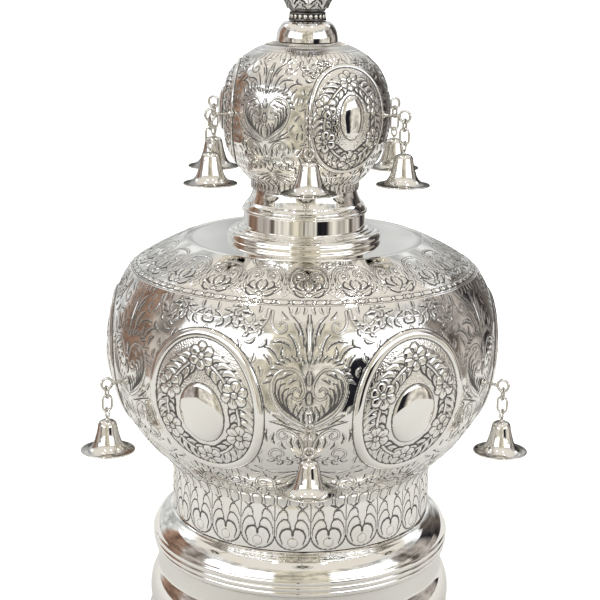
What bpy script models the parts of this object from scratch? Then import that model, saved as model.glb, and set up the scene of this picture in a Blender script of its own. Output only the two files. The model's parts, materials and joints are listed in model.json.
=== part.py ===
"""Double-bulb bell ornament in chased silver: a hollow base, two bulbs on one tie rod and ten small bells.

Metres, +Z up. The origin is the centre of the foot's underside, and the front looks along -Y.
Every piece is a solid of its own. The arms are fixed to the bulbs; each link, bell and clapper
hangs free, and its object's origin is on the hinge that it swings about.
"""

from math import acos, cos, hypot, pi, radians, sin, sqrt

import bmesh
import bpy
from mathutils import Matrix, Vector

MM = 0.001
GAP = 0.3                  # clearance between two pieces that rest on each other, mm

# Driving dimensions, mm
WALL = 1.3                 # sheet thickness of the bulbs, base and neck
BULB_RADIUS = 100.0        # main bulb
BULB_EQUATOR = 150.0       # height of its widest circle
BULB_RISE = 62.0           # from there to the crown of its superelliptic top
BULB_TOP_POWER = 2.7
BULB_DROP = 80.5           # from there to the foot of the ellipse below
GALLERY_RADIUS = 67.0      # leaf gallery under the bulb
GALLERY_BLEND = 6.0        # how softly the bulb flows into the gallery
GALLERY_BOTTOM = 61.3
GALLERY_TOP = 85.0
PLATE_LEVEL = 204.6        # flat plate on the shoulder
PLATE_RADIUS = 60.0
FOOT_HEIGHT = 5.7
NECK_TOP = 230.7
BRIM_LEVEL = 219.9
BRIM_RADIUS = 31.9
UPPER_RADIUS = 42.2        # upper bulb
UPPER_EQUATOR = 267.0
UPPER_RISE = 37.9
UPPER_TOP_POWER = 2.5
UPPER_DROP = 42.0
UPPER_COLLAR_RADIUS = 27.3
DOME_BASE = 304.1
DOME_RADIUS = 15.4
DOME_RISE = 9.7
DOME_TOP_RADIUS = 9.9
COLLAR_TOP = 318.2
ROD_RADIUS = 3.0
ROD_HOLE = ROD_RADIUS + 0.4
ROD_TOP = 334.0

# The bell strings, mm. Heights in a string are measured down from the centre of the arm's eye
UPPER_ARM_LEVEL = 270.3
LOWER_ARM_LEVEL = 143.2
UPPER_EYE_REACH = 54.3     # eye centre from the vertical axis
LOWER_EYE_REACH = 111.1
EYE_RADIUS = 2.8           # wire centreline
EYE_WIRE = 0.7             # wire radii
LINK_WIRE = 0.55
LOOP_WIRE = 0.45
LINK_1_HALF = 2.9          # half height of the small link's centreline
LINK_1_WIDTH = 1.75        # and its half width
LINK_2_HALF = 4.0          # the same for the long oval link
LINK_2_WIDTH = 2.4
CROWN_RADIUS = 2.3         # the bell's own ring
BELL_NECK = 1.3            # from the ring's lowest centreline to the dome
BELL_HEIGHT = 15.6
BELL_RIM = 13.4
BELL_WALL = 0.9
CLAPPER_DROP = 9.0         # from the clapper's hinge to the ball's centre
CLAPPER_BALL = 2.2

BULB_SIDES = 36
BASE_SIDES = 30
NECK_SIDES = 24
CAP_SIDES = 18
BELL_SIDES = 12

PIECES = bpy.data.collections.new("double_bulb_bell_ornament")
CUTTERS = bpy.data.collections.new("cutters")

SILVER = ((0.90, 0.88, 0.85), 0.10)
DARK_SILVER = ((0.42, 0.41, 0.40), 0.30)
STEEL = ((0.60, 0.60, 0.61), 0.35)


# ---------- tools ----------

def clear_scene():
    for item in list(bpy.data.objects):
        bpy.data.objects.remove(item, do_unlink=True)
    for collection in (PIECES, CUTTERS):
        bpy.context.scene.collection.children.link(collection)


def material_for(name, look):
    """A metal of the given colour and roughness, named for its piece."""
    colour, roughness = look
    made = bpy.data.materials.new(name)
    made.use_nodes = True
    shader = made.node_tree.nodes["Principled BSDF"]
    shader.inputs["Base Color"].default_value = (*colour, 1.0)
    shader.inputs["Metallic"].default_value = 1.0
    shader.inputs["Roughness"].default_value = roughness
    return made


def add_piece(name, data, look):
    piece = bpy.data.objects.new(name, data)
    PIECES.objects.link(piece)
    if not data.materials:
        data.materials.append(material_for(name, look))
    return piece


def arc(start, end, bulge, steps):
    """Points from start to end, bent sideways by bulge; positive bends to the right of the way."""
    if not bulge:
        return [start, end]
    (ax, az), (bx, bz) = start, end
    half = hypot(bx - ax, bz - az) / 2
    radius = (half * half + bulge * bulge) / (2 * abs(bulge))
    side = 1 if bulge > 0 else -1
    along = Vector((bx - ax, bz - az)).normalized()
    right = Vector((along.y, -along.x)) * side
    centre = Vector(((ax + bx) / 2, (az + bz) / 2)) - right * (radius - abs(bulge))
    spread = acos((radius - abs(bulge)) / radius)
    points = []
    for i in range(steps + 1):
        angle = -spread + 2 * spread * i / steps
        points.append(tuple(centre + right * radius * cos(angle) + along * radius * sin(angle)))
    return points


def chain_of(*runs):
    """One outline from several runs of points, leaving out a point that repeats the last one."""
    outline = []
    for run in runs:
        for point in run:
            if not outline or hypot(point[0] - outline[-1][0], point[1] - outline[-1][1]) > 0.01:
                outline.append(point)
    return outline


def outline_mesh(name, points, closed):
    """A chain of edges in the XZ plane, at +X, from points in mm."""
    mesh = bpy.data.meshes.new(name)
    edges = [(i, i + 1) for i in range(len(points) - 1)]
    if closed:
        edges.append((len(points) - 1, 0))
    mesh.from_pydata([(r * MM, 0.0, z * MM) for r, z in points], edges, [])
    return mesh


def add_screw(piece, sides):
    screw = piece.modifiers.new("turned", "SCREW")
    screw.axis = "Z"
    screw.steps = sides
    screw.render_steps = sides
    screw.use_merge_vertices = True
    screw.merge_threshold = 0.00001
    screw.use_smooth_shade = True


def turned(name, points, sides, look, closed=True):
    """A turned solid. The outline runs down the outer side, and closes on itself or on the axis."""
    piece = add_piece(name, outline_mesh(name, points, closed), look)
    add_screw(piece, sides)
    return piece


def turned_shell(name, points, sides, look, wall=WALL):
    """A turned sheet of the given wall. The outline is its outer face, from the top down."""
    piece = turned(name, points, sides, look, closed=False)
    shell = piece.modifiers.new("wall", "SOLIDIFY")
    shell.thickness = wall * MM
    shell.offset = -1.0
    shell.use_even_offset = True
    return piece


def ring_mesh(name, centre, half_height, half_width, wire, plane, points=8):
    """A closed wire loop in the local XZ or YZ plane: a circle, or a long link with round ends."""
    curve = bpy.data.curves.new(name, "CURVE")
    curve.dimensions = "3D"
    curve.bevel_depth = wire * MM
    curve.bevel_resolution = 1
    straight = half_height - half_width
    spline = curve.splines.new("POLY")
    spline.points.add(points - 1)
    spline.use_cyclic_u = True
    for i, point in enumerate(spline.points):
        angle = 2 * pi * (i + 0.5) / points
        across = half_width * cos(angle)
        up = centre + half_width * sin(angle) + (straight if sin(angle) > 0 else -straight)
        place = (across, 0.0, up) if plane == "XZ" else (0.0, across, up)
        point.co = (place[0] * MM, place[1] * MM, place[2] * MM, 1.0)
    holder = bpy.data.objects.new(name, curve)
    PIECES.objects.link(holder)
    mesh = mesh_of(holder, name)
    bpy.data.curves.remove(curve)
    return mesh


def mesh_of(piece, name):
    """The piece's evaluated mesh as a mesh of its own; the piece is removed."""
    bpy.context.view_layer.update()
    seen = piece.evaluated_get(bpy.context.evaluated_depsgraph_get())
    mesh = bpy.data.meshes.new_from_object(seen)
    mesh.name = name
    bpy.data.objects.remove(piece, do_unlink=True)
    body = bmesh.new()
    body.from_mesh(mesh)
    bmesh.ops.remove_doubles(body, verts=body.verts, dist=0.000001)
    bmesh.ops.recalc_face_normals(body, faces=body.faces)
    body.to_mesh(mesh)
    body.free()
    return mesh


def joined(piece, *meshes):
    """The mesh of the piece with the closed meshes joined to it."""
    for i, mesh in enumerate(meshes):
        guide = bpy.data.objects.new(f"{piece.name}_joined_{i}", mesh)
        CUTTERS.objects.link(guide)
        guide.hide_render = True
        guide.display_type = "WIRE"
        union = piece.modifiers.new(guide.name, "BOOLEAN")
        union.operation = "UNION"
        union.object = guide
    guides = [m.object for m in piece.modifiers if m.type == "BOOLEAN"]
    mesh = mesh_of(piece, piece.name)
    for guide in guides:
        bpy.data.objects.remove(guide, do_unlink=True)
    return mesh


# ---------- outlines of the bulbs ----------

def main_bulb_radius(level):
    """The main bulb's outer radius at a height, flowing into the gallery at the bottom."""
    rise = level - BULB_EQUATOR
    if rise > 0:
        return BULB_RADIUS * (1 - (rise / BULB_RISE) ** BULB_TOP_POWER) ** (1 / BULB_TOP_POWER)
    ellipse = BULB_RADIUS * sqrt(1 - (rise / BULB_DROP) ** 2)
    apart = ellipse - GALLERY_RADIUS
    return (ellipse + GALLERY_RADIUS + hypot(apart, GALLERY_BLEND)) / 2


def main_bulb_level(radius):
    """The height of the bulb's top half at a radius."""
    share = 1 - (radius / BULB_RADIUS) ** BULB_TOP_POWER
    return BULB_EQUATOR + BULB_RISE * share ** (1 / BULB_TOP_POWER)


def upper_bulb_radius(level):
    rise = level - UPPER_EQUATOR
    if rise > 0:
        return UPPER_RADIUS * (1 - (rise / UPPER_RISE) ** UPPER_TOP_POWER) ** (1 / UPPER_TOP_POWER)
    return max(UPPER_COLLAR_RADIUS, UPPER_RADIUS * sqrt(1 - (rise / UPPER_DROP) ** 2))


# ---------- base and bulbs ----------

def make_foot_ring():
    top = FOOT_HEIGHT
    outer = arc((78.2, top), (80.2, 0.0), -1.2, 3)
    turned("foot_ring", chain_of(outer, [(73.5, 0.0), (73.5, top)]), BASE_SIDES, SILVER)


def make_spun_base():
    """One spun sheet: a quarter round, a reeded band and a full round above the foot."""
    top = GALLERY_BOTTOM - GAP
    outline = chain_of(
        arc((67.2, top), (77.9, 45.6), -2.0, 3),
        [(77.2, 42.3), (75.6, 37.0), (75.6, 31.0)],
        arc((75.6, 31.0), (77.6, FOOT_HEIGHT + GAP), -3.2, 4),
    )
    turned_shell("spun_base", outline, BASE_SIDES, SILVER)


def make_leaf_gallery():
    outline = arc((67.6, GALLERY_TOP), (67.9, GALLERY_BOTTOM), 0.9, 2)
    turned_shell("leaf_gallery", outline, BASE_SIDES, SILVER)


def make_main_bulb():
    """The chased bulb with its shoulder and the flat plate that carries the neck."""
    plate = [(ROD_HOLE, PLATE_LEVEL), (PLATE_RADIUS, PLATE_LEVEL)]
    shoulder = [(r, main_bulb_level(r)) for r in (61.5, 71.0, 80.0, 88.0)]
    side_levels = (178.0, 164.0, 148.0, 133.0, 119.0, 106.0, 94.0)
    side = [(main_bulb_radius(z), z) for z in side_levels]
    foot = GALLERY_TOP + GAP
    outline = chain_of(plate, shoulder, side, [(main_bulb_radius(foot), foot)])
    turned_shell("main_bulb", outline, BULB_SIDES, SILVER)


def make_neck():
    """The spun neck: a flared bell with a rolled brim, a short drum, two steps and a half round."""
    foot = PLATE_LEVEL + GAP
    outline = chain_of(
        arc((26.3, NECK_TOP), (31.2, BRIM_LEVEL + 1.0), -0.5, 2),
        [(BRIM_RADIUS, BRIM_LEVEL), (31.3, BRIM_LEVEL - 1.0), (31.4, 211.8)],
        [(33.8, 210.9), (36.6, 209.9)],
        arc((36.8, 209.9), (38.4, foot), -1.9, 3),
    )
    turned_shell("neck", outline, NECK_SIDES, SILVER, wall=1.1)


def make_upper_bulb():
    top = DOME_BASE - GAP
    rim = UPPER_RADIUS * (1 - ((top - UPPER_EQUATOR) / UPPER_RISE) ** UPPER_TOP_POWER) ** (
        1 / UPPER_TOP_POWER
    )
    levels = (303.0, 300.5, 296.5, 291.0, 284.0, 275.5, 266.0, 256.0, 247.0, 240.0, 235.2)
    side = [(upper_bulb_radius(z), z) for z in levels]
    foot = [(UPPER_COLLAR_RADIUS, NECK_TOP + GAP)]
    turned_shell("upper_bulb", chain_of([(rim, top)], side, foot), NECK_SIDES, SILVER, wall=1.1)


# ---------- cap, finial and rod ----------

def make_cap_dome():
    """A small spun cap; its top is pierced for the rod."""
    top = DOME_BASE + DOME_RISE
    side = []
    for share in (0.90, 0.70, 0.40, 0.0):
        side.append((DOME_RADIUS * (1 - share ** 2.6) ** (1 / 2.6), DOME_BASE + DOME_RISE * share))
    outline = chain_of([(ROD_HOLE, top), (DOME_TOP_RADIUS - 2.5, top)], side)
    turned_shell("cap_dome", outline, CAP_SIDES, SILVER, wall=1.0)


def make_beaded_collar():
    foot = DOME_BASE + DOME_RISE + GAP
    outer = [(8.6, COLLAR_TOP), (9.9, COLLAR_TOP - 0.8), (9.9, foot + 0.7), (9.2, foot)]
    inner = [(ROD_HOLE, foot), (ROD_HOLE, COLLAR_TOP)]
    turned("beaded_collar", outer + inner, CAP_SIDES, DARK_SILVER)


def make_finial():
    """A leaf cup with a bud in it, one casting with a blind hole for the rod's end."""
    foot = COLLAR_TOP + GAP
    outline = chain_of(
        [(0.0, 352.0)],
        [(1.2, 349.0), (4.6, 346.6), (8.4, 342.4), (9.3, 337.0), (6.8, 330.0)],
        [(9.8, 328.4), (14.6, 330.6), (18.2, 334.6), (19.4, 333.6)],
        arc((18.6, 330.4), (10.2, 320.6), -1.6, 3),
        [(9.0, foot), (ROD_HOLE, foot), (ROD_HOLE, ROD_TOP + 0.4), (0.0, ROD_TOP + 0.4)],
    )
    turned("finial", outline, CAP_SIDES, DARK_SILVER, closed=False)


def make_tie_rod():
    """A long bolt: its head bears on the plate from inside, and the finial screws on its end."""
    under_plate = PLATE_LEVEL - WALL - GAP
    outline = [
        (0.0, ROD_TOP),
        (ROD_RADIUS - 0.6, ROD_TOP),
        (ROD_RADIUS, ROD_TOP - 0.6),
        (ROD_RADIUS, under_plate),
        (8.0, under_plate),
        (8.0, under_plate - 3.4),
        (0.0, under_plate - 3.4),
    ]
    turned("tie_rod", outline, 12, STEEL, closed=False)


# ---------- bell strings ----------
# In a string's own frame X points away from the vertical axis, and Z up. The eye, the long link and
# the clapper's ring stand in the XZ plane; the small link, the bell's ring and its inner loop
# stand across it, so that each passes through the next.

LINK_1_HINGE = -EYE_RADIUS
LINK_1_TOP = LINK_1_HINGE + EYE_WIRE + LINK_WIRE + GAP
LINK_1_CENTRE = LINK_1_TOP - LINK_1_HALF
LINK_2_HINGE = LINK_1_CENTRE - LINK_1_HALF
LINK_2_TOP = LINK_2_HINGE + 2 * LINK_WIRE + GAP
LINK_2_CENTRE = LINK_2_TOP - LINK_2_HALF
BELL_HINGE = LINK_2_CENTRE - LINK_2_HALF
CROWN_CENTRE = BELL_HINGE + 2 * LINK_WIRE + GAP - CROWN_RADIUS
DOME_TOP = CROWN_CENTRE - CROWN_RADIUS - BELL_NECK
INNER_LOOP_RADIUS = 1.5
INNER_LOOP_CENTRE = DOME_TOP - BELL_WALL - 1.2
CLAPPER_HINGE = INNER_LOOP_CENTRE - INNER_LOOP_RADIUS
CLAPPER_RING_RADIUS = 1.3
CLAPPER_RING_TOP = CLAPPER_HINGE + LOOP_WIRE + LOOP_WIRE + GAP


def bell_shell_outline():
    """The bell's outer face and, a wall inside it, its inner face, from the neck to the dome."""
    top = DOME_TOP - BELL_HINGE
    rim = top - BELL_HEIGHT
    outer = chain_of(
        [(0.0, top + BELL_NECK), (0.8, top + BELL_NECK), (0.8, top)],
        [(3.2, top - 0.2), (4.4, top - 1.3)],
        arc((4.4, top - 1.3), (8.4, rim + 2.4), 0.35, 2),
        [(10.4, rim + 1.0), (BELL_RIM, rim + 0.5), (BELL_RIM, rim)],
    )
    inner = [
        (10.2, rim),
        (7.6, rim + 2.0),
        (5.6, rim + 6.6),
        (3.8, top - 2.0),
        (2.6, top - BELL_WALL),
        (0.0, top - BELL_WALL),
    ]
    return outer + inner


def arm_mesh(reach, surface):
    """A rod that stands off the bulb's wall, with a small boss at its foot and an eye at its end."""
    start = surface - reach + GAP
    end = -EYE_RADIUS
    rod = turned(
        "arm",
        [(0.0, end), (0.75, end), (0.75, start + 1.6), (1.7, start + 0.8), (1.7, start), (0.0, start)],
        6,
        SILVER,
        closed=False,
    )
    eye = ring_mesh("eye", 0.0, EYE_RADIUS, EYE_RADIUS, EYE_WIRE, "XZ", points=10)
    turn = Matrix.Rotation(radians(-90), 4, "Y")
    eye.transform(turn)
    mesh = joined(rod, eye)
    mesh.transform(turn.inverted())
    return mesh


def bell_mesh():
    shell = turned("bell", bell_shell_outline(), BELL_SIDES, SILVER, closed=False)
    crown = ring_mesh(
        "crown", CROWN_CENTRE - BELL_HINGE, CROWN_RADIUS, CROWN_RADIUS, LINK_WIRE, "YZ"
    )
    loop = ring_mesh(
        "loop",
        INNER_LOOP_CENTRE - BELL_HINGE,
        INNER_LOOP_RADIUS,
        INNER_LOOP_RADIUS,
        LOOP_WIRE,
        "YZ",
    )
    return joined(shell, crown, loop)


def clapper_mesh():
    """A ring, a stem and a ball."""
    ring_centre = CLAPPER_RING_TOP - CLAPPER_RING_RADIUS - CLAPPER_HINGE
    stem_top = ring_centre - CLAPPER_RING_RADIUS
    ball = -CLAPPER_DROP
    outline = [(0.0, stem_top), (0.5, stem_top), (0.5, ball + CLAPPER_BALL)]
    for angle in (50, 0, -50):
        turn = radians(angle)
        outline.append((CLAPPER_BALL * cos(turn), ball + CLAPPER_BALL * sin(turn)))
    outline.append((0.0, ball - CLAPPER_BALL))
    stem = turned("clapper", outline, 6, SILVER, closed=False)
    ring = ring_mesh(
        "ring", ring_centre, CLAPPER_RING_RADIUS, CLAPPER_RING_RADIUS, LOOP_WIRE - 0.05, "XZ"
    )
    return joined(stem, ring)


def hang(name, mesh, eye, turn, drop):
    """A piece of a string, with its origin on its hinge, drop below the eye's centre."""
    piece = add_piece(name, mesh, SILVER)
    piece.location = (eye + Vector((0.0, 0.0, drop))) * MM
    piece.rotation_euler = (0.0, 0.0, turn)


def make_strings():
    """Six strings round the upper bulb, four round the main bulb, named for where they hang."""
    link_1 = ring_mesh(
        "link_1", LINK_1_CENTRE - LINK_1_HINGE, LINK_1_HALF, LINK_1_WIDTH, LINK_WIRE, "YZ"
    )
    link_2 = ring_mesh(
        "link_2", LINK_2_CENTRE - LINK_2_HINGE, LINK_2_HALF, LINK_2_WIDTH, LINK_WIRE, "XZ"
    )
    bell = bell_mesh()
    clapper = clapper_mesh()
    around = {
        "front": -90,
        "front_right": -30,
        "back_right": 30,
        "back": 90,
        "back_left": 150,
        "front_left": -150,
    }
    tiers = (
        ("upper", UPPER_EYE_REACH, UPPER_ARM_LEVEL, upper_bulb_radius(UPPER_ARM_LEVEL), tuple(around)),
        (
            "lower",
            LOWER_EYE_REACH,
            LOWER_ARM_LEVEL,
            main_bulb_radius(LOWER_ARM_LEVEL),
            ("front", "front_right", "back", "front_left"),
        ),
    )
    for tier, reach, level, surface, places in tiers:
        arm = arm_mesh(reach, surface)
        for place in places:
            turn = radians(around[place])
            eye = Vector((reach * cos(turn), reach * sin(turn), level))
            name = f"{tier}_{place}"
            hang(f"{name}_arm", arm, eye, turn, 0.0)
            hang(f"{name}_link_1", link_1, eye, turn, LINK_1_HINGE)
            hang(f"{name}_link_2", link_2, eye, turn, LINK_2_HINGE)
            hang(f"{name}_bell", bell, eye, turn, BELL_HINGE)
            hang(f"{name}_clapper", clapper, eye, turn, CLAPPER_HINGE)


clear_scene()
make_foot_ring()
make_spun_base()
make_leaf_gallery()
make_main_bulb()
make_neck()
make_upper_bulb()
make_cap_dome()
make_beaded_collar()
make_finial()
make_tie_rod()
make_strings()
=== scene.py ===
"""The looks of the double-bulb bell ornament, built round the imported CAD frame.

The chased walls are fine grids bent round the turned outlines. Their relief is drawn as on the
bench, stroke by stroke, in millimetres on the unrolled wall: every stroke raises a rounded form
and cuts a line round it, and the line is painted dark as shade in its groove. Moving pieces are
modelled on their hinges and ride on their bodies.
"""

import json
from collections import namedtuple
from math import acos, cos, hypot, pi, radians, sin, sqrt

import bmesh
import bpy
import numpy as np
from mathutils import Matrix, Quaternion, Vector


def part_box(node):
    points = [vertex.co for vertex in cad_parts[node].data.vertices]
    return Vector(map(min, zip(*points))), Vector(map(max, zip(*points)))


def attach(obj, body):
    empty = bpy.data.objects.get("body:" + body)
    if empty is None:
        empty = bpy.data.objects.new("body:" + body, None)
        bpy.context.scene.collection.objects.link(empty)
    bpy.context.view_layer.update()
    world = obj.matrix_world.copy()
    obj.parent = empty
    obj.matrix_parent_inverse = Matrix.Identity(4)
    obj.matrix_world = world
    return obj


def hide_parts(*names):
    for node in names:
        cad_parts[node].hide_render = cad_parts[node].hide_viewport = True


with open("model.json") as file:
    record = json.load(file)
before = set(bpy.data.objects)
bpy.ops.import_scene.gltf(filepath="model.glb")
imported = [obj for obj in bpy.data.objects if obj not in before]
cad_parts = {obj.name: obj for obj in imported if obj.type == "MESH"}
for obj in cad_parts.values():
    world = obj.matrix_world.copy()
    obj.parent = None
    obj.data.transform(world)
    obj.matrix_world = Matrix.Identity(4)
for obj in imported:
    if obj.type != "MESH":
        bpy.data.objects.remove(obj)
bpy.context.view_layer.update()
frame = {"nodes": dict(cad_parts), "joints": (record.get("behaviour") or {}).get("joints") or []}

MM = 0.001
CELL = 0.44                # spacing of the chased walls' grid, mm
UPPER_CELL = CELL * 0.82
WALL = 1.3
UPPER_WALL = 1.1
SHARP = 38                 # an edge between turned faces is sharp from this angle on, degrees
ROD_HOLE = 3.4             # no shell comes nearer to the axis, where the centre rod stands
CUT = 0.36                 # how far a cut line reaches to each side, mm
CUT_DEPTH = 0.08
INNER_COLUMNS = 8          # columns of a sector's plain inside


def node_size(node):
    """Outer radius, lowest and highest level of a turned CAD node, mm."""
    low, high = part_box(node)
    return high.x / MM, low.z / MM, high.z / MM


BULB_RADIUS, BULB_FOOT, PLATE_LEVEL = node_size("main_bulb")
UPPER_RADIUS, UPPER_FOOT, UPPER_TOP = node_size("upper_bulb")
GALLERY_BOTTOM, GALLERY_TOP = node_size("leaf_gallery")[1:]
NECK_FOOT, NECK_TOP = node_size("neck")[1:]
DOME_RADIUS, DOME_BASE, DOME_TOP = node_size("cap_dome")
FOOT_RADIUS, FOOT_BOTTOM, FOOT_TOP = node_size("foot_ring")
COLLAR_FOOT, COLLAR_TOP = node_size("beaded_collar")[1:]
CUP_RADIUS, CUP_FOOT, FINIAL_TOP = node_size("finial")

# The bulbs' outlines: an equator, a superelliptic top and an elliptic bottom, mm. The main bulb's
# side ends at a ring line, and a flatter shoulder runs on to the plain plate.
BULB_EQUATOR = BULB_FOOT + 64.7
BULB_RISE = 73.1
BULB_TOP_POWER = 2.35
RING_LEVEL = BULB_EQUATOR + 40.5
RIM_LEVEL = BULB_EQUATOR + 55.4
SHOULDER_START = 0.72      # the shoulder's slope at the ring line, against its mean
BULB_DROP = 80.5
GALLERY_RADIUS = 67.0
GALLERY_BLEND = 6.0        # how softly the bulb's foot runs into the gallery
BLEND_DROP = 40.0          # the blend fades in over this drop below the equator
PLATE_RADIUS = 61.0
PANEL_LEVEL = 143.5        # where the drawings' own zero lies on the two bulbs
UPPER_PANEL_LEVEL = 269.0
UPPER_EQUATOR = UPPER_FOOT + 36.0
UPPER_RISE = 37.9
UPPER_TOP_POWER = 2.5
UPPER_DROP = 42.0
UPPER_COLLAR_RADIUS = 27.3


def side_radius(rise):
    return BULB_RADIUS * (1 - (rise / BULB_RISE) ** BULB_TOP_POWER) ** (1 / BULB_TOP_POWER)


def main_bulb_radius(level):
    rise = level - BULB_EQUATOR
    if level > RING_LEVEL:
        share = (level - RING_LEVEL) / (RIM_LEVEL - RING_LEVEL)
        fall = SHOULDER_START * share + (1 - SHOULDER_START) * share**2
        ring = side_radius(RING_LEVEL - BULB_EQUATOR)
        return ring + (PLATE_RADIUS - ring) * fall
    if rise > 0:
        return side_radius(rise)
    ellipse = BULB_RADIUS * sqrt(1 - (rise / BULB_DROP) ** 2)
    over = ellipse - GALLERY_RADIUS
    share = min(1.0, -rise / BLEND_DROP)
    return ellipse + (hypot(over, GALLERY_BLEND) - over) / 2 * share**2 * (3 - 2 * share)


def upper_bulb_radius(level):
    rise = level - UPPER_EQUATOR
    if rise > 0:
        share = max(0.0, 1 - (rise / UPPER_RISE) ** UPPER_TOP_POWER)
        return UPPER_RADIUS * share ** (1 / UPPER_TOP_POWER)
    return max(UPPER_COLLAR_RADIUS, UPPER_RADIUS * sqrt(1 - (rise / UPPER_DROP) ** 2))


# ---------- paths ----------

def arc(start, end, bulge, steps=12):
    """Points from start to end, bent sideways by bulge; positive bends to the right of the way."""
    (ax, ay), (bx, by) = start, end
    half = hypot(bx - ax, by - ay) / 2
    radius = (half * half + bulge * bulge) / (2 * abs(bulge))
    side = 1 if bulge > 0 else -1
    along = Vector((bx - ax, by - ay)).normalized()
    right = Vector((along.y, -along.x)) * side
    centre = Vector(((ax + bx) / 2, (ay + by) / 2)) - right * (radius - abs(bulge))
    spread = acos((radius - abs(bulge)) / radius)
    if abs(bulge) > half:
        spread = pi - spread
    points = []
    for i in range(steps + 1):
        angle = -spread + 2 * spread * i / steps
        points.append(tuple(centre + right * radius * cos(angle) + along * radius * sin(angle)))
    return points


def chain_of(*runs):
    outline = []
    for run in runs:
        for point in run:
            if not outline or hypot(point[0] - outline[-1][0], point[1] - outline[-1][1]) > 0.01:
                outline.append(point)
    return outline


def smooth(points, steps=5):
    """A Catmull-Rom curve through the points, as an array."""
    p = np.asarray(points, float)
    p = np.vstack([2 * p[0] - p[1], p, 2 * p[-1] - p[-2]])
    t = np.linspace(0, 1, steps, endpoint=False)[:, None]
    runs = []
    for a, b, c, d in zip(p[:-3], p[1:-2], p[2:-1], p[3:]):
        runs.append(
            0.5 * (2 * b + (c - a) * t + (2 * a - 5 * b + 4 * c - d) * t**2 + (3 * b - a - 3 * c + d) * t**3)
        )
    return np.vstack([*runs, p[-2:-1]])


# ---------- relief ----------

class Relief:
    """A chased pattern on a grid: height over the plain wall in mm, painted shade in the cuts, and ground."""

    PARTS = ("height", "ink", "ground")

    def __init__(self, x, y, boldness, reach=CUT):
        x, y = np.broadcast_arrays(x, y)
        self.height, self.ink, self.ground = (np.zeros(x.shape) for _ in self.PARTS)
        self.boldness = boldness
        self.reach = reach
        self.use(x, y)

    def use(self, x, y, scale=1.0):
        """Sets the drawing's own axes over the grid, and its scale."""
        self.x, self.y = np.broadcast_arrays(x / scale, y / scale)
        self.scale = scale

    def distance(self, path, widths):
        """The grid places near a stroke, and their signed distance from its edge, in real mm."""
        path = np.asarray(path, float)
        widths = np.broadcast_to(np.asarray(widths, float), len(path))
        reach = widths.max() + 2.0
        low, high = path.min(0) - reach, path.max(0) + reach
        near = np.nonzero(
            (self.x > low[0]) & (self.x < high[0]) & (self.y > low[1]) & (self.y < high[1])
        )
        px, py = self.x[near], self.y[near]
        best = np.full(px.shape, 1e9)
        for (ax, ay), (bx, by), wa, wb in zip(path[:-1], path[1:], widths[:-1], widths[1:]):
            dx, dy = bx - ax, by - ay
            t = np.clip(((px - ax) * dx + (py - ay) * dy) / (dx * dx + dy * dy + 1e-9), 0, 1)
            away = np.hypot(px - ax - t * dx, py - ay - t * dy) - (wa + (wb - wa) * t)
            np.minimum(best, away, out=best)
        return near, best * self.scale

    def stamp(self, near, away, rise, round_over, cut=1.0):
        """Raises what lies inside an edge into a rounded form, and cuts a line along it that is painted dark
        as shade.
        """
        inside = away < 0
        rounded = np.sqrt(1 - (1 - np.clip(-away / round_over, 0, 1)) ** 2)
        line = np.clip((self.reach - np.abs(away)) / (self.reach * 0.6), 0, 1) * cut
        height = np.where(inside, rise * self.boldness * rounded, self.height[near])
        self.height[near] = height - CUT_DEPTH * line
        # the cut line is marked for painted shade; the material darkens it
        self.ink[near] = np.maximum(np.where(inside, 0.0, self.ink[near]), line)
        self.ground[near] = np.where(inside, 0.0, self.ground[near])

    def stroke(self, path, widths, rise=0.55, cut=1.0):
        near, away = self.distance(path, widths)
        self.stamp(near, away, rise, float(np.max(widths)) * self.scale * 0.9, cut)

    def score(self, path, cut=0.9, wide=0.0):
        """Cuts a line only; a wide one swells in its middle and runs out fine at both ends."""
        path = np.asarray(path, float)
        widths = wide * np.sin(np.linspace(0.12, 0.94, len(path)) * pi) if wide else 0.0
        near, away = self.distance(path, widths)
        line = np.clip((self.reach * 0.9 - away) / (self.reach * 0.6), 0, 1) * cut
        self.height[near] -= CUT_DEPTH * line
        # the scored line is marked for painted shade as well
        self.ink[near] = np.maximum(self.ink[near], line)

    def curl(self, points, cut=0.9, wide=0.0, steps=4):
        """A scored curve through the points."""
        self.score(smooth(points, steps), cut, wide)

    def disc(self, centre, radius, rise=0.5, cut=1.0):
        self.stroke([centre, (centre[0] + 0.01, centre[1])], radius, rise, cut)

    def empty(self, x, y, reach):
        """True where nothing is cut within reach of a place."""
        near = (np.abs(self.x - x) < reach) & (np.abs(self.y - y) < reach)
        return near.any() and self.ink[near].max() < 0.25


def taper(count, wide, tip=0.12, full=0.4):
    """Half widths of a leaf: from a narrow foot to its full width, and to a point."""
    t = np.linspace(0, 1, count)
    body = np.where(t < full, np.sin(t / full * pi / 2), np.cos((t - full) / (1 - full) * pi / 2))
    return np.maximum(wide * body**0.8, tip)


def leaf(relief, points, wide, rise=0.6, vein=True, full=0.45, shade=1):
    """A leaf along a curve; its cut is light on one edge and swells on the other, as a burin's does."""
    path = smooth(points, 4)
    widths = taper(len(path), wide, full=full)
    relief.stroke(path, widths, rise, 0.62)
    way = np.gradient(path, axis=0)
    way /= np.hypot(way[:, 0], way[:, 1])[:, None] + 1e-9
    edge = path + np.stack([way[:, 1], -way[:, 0]], -1) * (widths * 0.82 * shade)[:, None]
    relief.score(edge[len(edge) // 8 :], 1.0, min(0.26, wide * 0.18))
    if vein:
        inner = path[len(path) // 4 : -len(path) // 4]
        if len(inner) > 1:
            relief.score(inner, 0.6)


def leaves(relief, *drawn, rise=0.6):
    """Leaves, each given as its half width and then its points."""
    for wide, *points in drawn:
        leaf(relief, points, wide, rise)


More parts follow.
